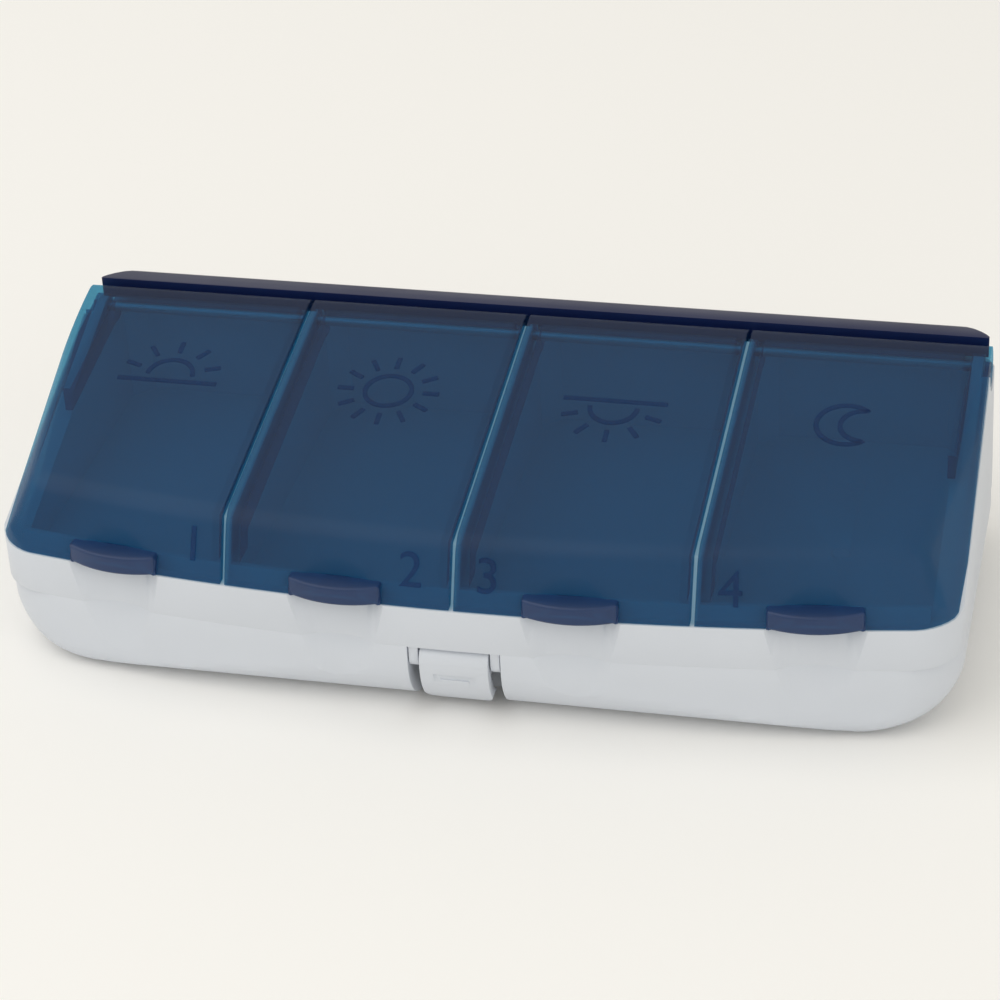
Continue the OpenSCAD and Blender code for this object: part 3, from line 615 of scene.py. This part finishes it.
def ray_tree(material):
    """Rays from a start angle, one every step, between an inner and an outer radius."""
    tree = bpy.data.node_groups.new("sun_rays", "GeometryNodeTree")
    tree.interface.new_socket("Geometry", in_out="OUTPUT", socket_type="NodeSocketGeometry")
    for name, kind in (("Count", "Int"), ("Start", "Float"), ("Step", "Float"), ("Inner radius", "Float"),
            ("Outer radius", "Float"), ("Width", "Float"), ("Height", "Float")):
        tree.interface.new_socket(name, in_out="INPUT", socket_type="NodeSocket" + kind)
    given = add(tree, "NodeGroupInput").outputs
    index = add(tree, "GeometryNodeInputIndex").outputs[0]
    turn = math_node(tree, "ADD", given["Start"], math_node(tree, "MULTIPLY", index, given["Step"]))
    middle = math_node(tree, "MULTIPLY", math_node(tree, "ADD", given["Inner radius"], given["Outer radius"]), 0.5)
    length = math_node(tree, "SUBTRACT", given["Outer radius"], given["Inner radius"])
    x = math_node(tree, "MULTIPLY", middle, math_node(tree, "COSINE", turn, None))
    y = math_node(tree, "MULTIPLY", middle, math_node(tree, "SINE", turn, None))
    place = add(tree, "ShaderNodeCombineXYZ", links={"X": x, "Y": y})
    face = add(tree, "ShaderNodeCombineXYZ", links={"Z": turn})
    size = add(tree, "ShaderNodeCombineXYZ", links={"X": length, "Y": given["Width"], "Z": given["Height"]})
    points = add(tree, "GeometryNodePoints", links={"Count": given["Count"], "Position": place.outputs[0]})
    bar = add(tree, "GeometryNodeMeshCube", links={"Size": size.outputs[0]})
    rays = add(tree, "GeometryNodeInstanceOnPoints",
        links={"Points": points.outputs[0], "Instance": bar.outputs["Mesh"], "Rotation": face.outputs[0]})
    real = add(tree, "GeometryNodeRealizeInstances", links={"Geometry": rays.outputs[0]})
    dressed = add(tree, "GeometryNodeSetMaterial", {"Material": material}, {"Geometry": real.outputs[0]})
    add(tree, "NodeGroupOutput", links={"Geometry": dressed.outputs[0]})
    return tree


rays = ray_tree(blue_pp_relief)
print("ray tree has", len(rays.nodes), "nodes")

# %% Draw the icons flat, at the origin
RELIEF = 0.3 * MM
STROKE = 0.75 * MM
SUN_R = 3.7 * MM
RAY_START = 5.6 * MM
RAY_END = 8.2 * MM
HORIZON_DROP = 1.6 * MM
MOON_R = 4.6 * MM
MOON_BITE = 2.6 * MM


def ray_piece(name, count, start, step):
    """One set of rays as plain mesh. Angles in degrees."""
    piece = new_piece(name, bpy.data.meshes.new(name))
    modifier = piece.modifiers.new("rays", "NODES")
    modifier.node_group = rays
    values = {"Count": count, "Start": math.radians(start), "Step": math.radians(step),
        "Inner radius": RAY_START, "Outer radius": RAY_END, "Width": STROKE, "Height": RELIEF}
    for socket in rays.interface.items_tree:
        if socket.in_out == "INPUT":
            modifier[socket.identifier] = values[socket.name]
    bpy.context.view_layer.update()
    return settle(piece)


def band(name, points, closed):
    """A raised stroke along points in the plane."""
    count = len(points)
    verts = []
    for i, point in enumerate(points):
        before = Vector(points[i - 1] if closed or i else points[i])
        after = Vector(points[(i + 1) % count] if closed or i < count - 1 else points[i])
        along = (after - before).normalized()
        aside = Vector((-along.y, along.x)) * STROKE / 2
        for sign, z in ((1, -1), (-1, -1), (-1, 1), (1, 1)):
            verts.append((point[0] + sign * aside.x, point[1] + sign * aside.y, z * RELIEF / 2))
    faces = []
    for i in range(count if closed else count - 1):
        a, b = 4 * i, 4 * ((i + 1) % count)
        faces += [(a + k, a + (k + 1) % 4, b + (k + 1) % 4, b + k) for k in range(4)]
    if not closed:
        faces += [(0, 1, 2, 3), (4 * count - 1, 4 * count - 2, 4 * count - 3, 4 * count - 4)]
    return new_piece(name, mesh_from(name, verts, faces))


def joined(name, parts):
    """Several meshes as one."""
    bm = bmesh.new()
    for part in parts:
        bm.from_mesh(part.data)
        bpy.data.objects.remove(part)
    mesh = bpy.data.meshes.new(name)
    bm.to_mesh(mesh)
    bm.free()
    return new_piece(name, mesh)


def noon_sun():
    """A whole sun: a ring with twelve rays."""
    ring = arc_points(0, 0, SUN_R, 0, 2 * math.pi, 40)[:-1]
    return joined("noon_icon", [band("ring", ring, True), ray_piece("rays", 12, 0, 30)])


def low_sun(name, way):
    """A half sun on the horizon, rising for way 1 and setting for way -1."""
    half = arc_points(0, 0, SUN_R, 0, way * math.pi, 24)
    horizon = [(-RAY_END, -way * HORIZON_DROP), (RAY_END, -way * HORIZON_DROP)]
    fan = ray_piece("rays", 5, way * 18, way * 36)
    return joined(name, [band("half", half, False), band("horizon", horizon, False), fan])


def moon():
    """A crescent: an arc, and back along a second arc between the same two horns."""
    outside = arc_points(0, 0, MOON_R, math.radians(50), math.radians(310), 36)
    horn = outside[0]
    inner_r = math.hypot(horn[0] - MOON_BITE, horn[1])
    bend = math.atan2(horn[1], horn[0] - MOON_BITE)
    inside = arc_points(MOON_BITE, 0, inner_r, 2 * math.pi - bend, bend, 36)
    return joined("night_icon", [band("moon", outside + inside[1:-1], True)])


# %% [markdown]
# The icons are laid on the sloping tops, a little above the middle. Each one is half sunk in the skin, so that
# only half of its thickness shows and no gap can open under it.

# %% Lay the icons on the lids
def on_lid_top(x, y):
    """From flat at the origin to the outer surface of the lids' tops."""
    height = top_z - (hinge_y - y) * math.tan(SLOPE) - 0.04 * MM
    return Matrix.Translation((x, y, height)) @ Matrix.Rotation(SLOPE, 4, "X")


ICON_Y = 3.5 * MM
icons = [low_sun("morning_icon", 1), noon_sun(), low_sun("evening_icon", -1), moon()]
for icon, body, x in zip(icons, LID_BODIES, lid_middles):
    icon.data.transform(on_lid_top(x, ICON_Y))
    finish_piece(shade(icon), body, "blue_pp", material=blue_pp_relief)

# %% [markdown]
# ## Numerals
#
# Each front face also carries its number in low relief. A text object is the simple way to get a well drawn figure:
# it is given a thickness, made a mesh, and only then laid on the leaning face, beside the gap where a rib leaves
# room for it.

# %% Numerals on the front faces
FIGURE_SIZE = 7.8 * MM
FIGURE_Z = 25.2 * MM
FIGURE_ASIDE = [13.0 * MM, 11.6 * MM, -12.6 * MM, -12.4 * MM]
figure_places = [middle + aside for middle, aside in zip(lid_middles, FIGURE_ASIDE)]


def on_lid_front(x, z):
    """From flat at the origin to the outer surface of the lids' front faces."""
    surface_y = front_y + 0.15 * MM + (z - lid_bottom_z) * math.tan(LEAN)
    tilt = Matrix.Rotation(math.pi / 2 - LEAN, 4, "X")
    return on_bow(x) @ Matrix.Translation((0, surface_y, z)) @ tilt


for number, (body, x) in enumerate(zip(LID_BODIES, figure_places), start=1):
    curve = bpy.data.curves.new("figure", "FONT")
    curve.body = str(number)
    curve.size = FIGURE_SIZE
    curve.extrude = 0.15 * MM
    curve.resolution_u = 6
    curve.align_x = "CENTER"
    curve.align_y = "CENTER"
    text = bpy.data.objects.new("figure", curve)
    bpy.context.scene.collection.objects.link(text)
    bpy.context.view_layer.update()
    figure = new_piece("figure_" + str(number), bpy.data.meshes.new_from_object(text))
    bpy.data.objects.remove(text)
    figure.data.transform(on_lid_front(x, FIGURE_Z))
    finish_piece(shade(figure), body, "blue_pp", material=blue_pp_relief)

# %% [markdown]
# ## The splitter and the pins
#
# The parts inside the case are right as CAD has them, so they keep their meshes and only get their real materials.

# %% Materials for the carried-over parts
slots = {row["node"]: row["material_slot"] for row in frame["record"]["subparts"]}
replaced = {"base_case", "tray", "hinge_rail", "latch", *LIDS}
for node, piece in frame["nodes"].items():
    if node in replaced:
        continue
    piece.data.materials.clear()
    piece.data.materials.append(turned_steel if "screws" in node else FINISHES[slots[node]])
    print(node, "is", piece.data.materials[0].name)

# %% [markdown]
# ## Studio
#
# The box stands on a pale, warm floor that runs out of view. A wide sky of the same tone gives soft light from all
# round. One large area light above and to the left shapes the rounded edges, and a weaker one opens the shadows
# on the right.

# %% Floor and light
floor = block("floor", (-3, -3, -0.01), (3, 3, 0))
paper, tree = new_material("warm white paper")
place = add(tree, "ShaderNodeTexCoord").outputs["Object"]
fibre = add(tree, "ShaderNodeTexNoise", {"Scale": 1 / (2 * MM)}, {"Vector": place})
bump = add(tree, "ShaderNodeBump", {"Strength": 0.05, "Distance": 0.05 * MM}, {"Height": fibre.outputs["Fac"]})
shader = add(tree, "ShaderNodeBsdfPrincipled", {"Base Color": linear("#F8F7F5"), "Roughness": 0.9},
    {"Normal": bump.outputs["Normal"]})
add(tree, "ShaderNodeOutputMaterial", links={"Surface": shader.outputs["BSDF"]})
floor.data.materials.append(paper)

world = bpy.data.worlds.new("studio")
bpy.context.scene.world = world
world.use_nodes = True
world.node_tree.nodes["Background"].inputs["Color"].default_value = linear("#F9F6EE")
world.node_tree.nodes["Background"].inputs["Strength"].default_value = 0.7


def area_light(name, place, target, size, power):
    """A square light that faces its target."""
    data = bpy.data.lights.new(name, "AREA")
    data.size = size
    data.energy = power
    light = bpy.data.objects.new(name, data)
    light.location = place
    light.rotation_euler = (Vector(target) - Vector(place)).to_track_quat("-Z", "Y").to_euler()
    bpy.context.scene.collection.objects.link(light)
    return light


area_light("key", (-0.6, -0.3, 1.0), (0, 0, 0.02), 1.5, 6.9)
area_light("fill", (0.7, -0.9, 0.5), (0, 0, 0.02), 1.2, 2.7)

# %% [markdown]
# ## Camera
#
# The view is from the front, a little to the right and from above, with a long lens, which keeps the long edges
# nearly parallel. The camera is also rolled by three degrees, so that the box climbs slightly to the left.

# %% Camera
AZIMUTH = math.radians(14.19)
ELEVATION = math.radians(31.99)
ROLL = math.radians(2.97)
camera_data = bpy.data.cameras.new("camera")
camera_data.lens = 112.3
camera = bpy.data.objects.new("camera", camera_data)
camera.matrix_world = (
    Matrix.Translation((102.2 * MM, -404.1 * MM, 279.3 * MM))
    @ Matrix.Rotation(AZIMUTH, 4, "Z")
    @ Matrix.Rotation(math.pi / 2 - ELEVATION, 4, "X")
    @ Matrix.Rotation(-ROLL, 4, "Z")
)
bpy.context.scene.collection.objects.link(camera)
bpy.context.scene.camera = camera
bpy.context.scene.view_settings.view_transform = "Standard"
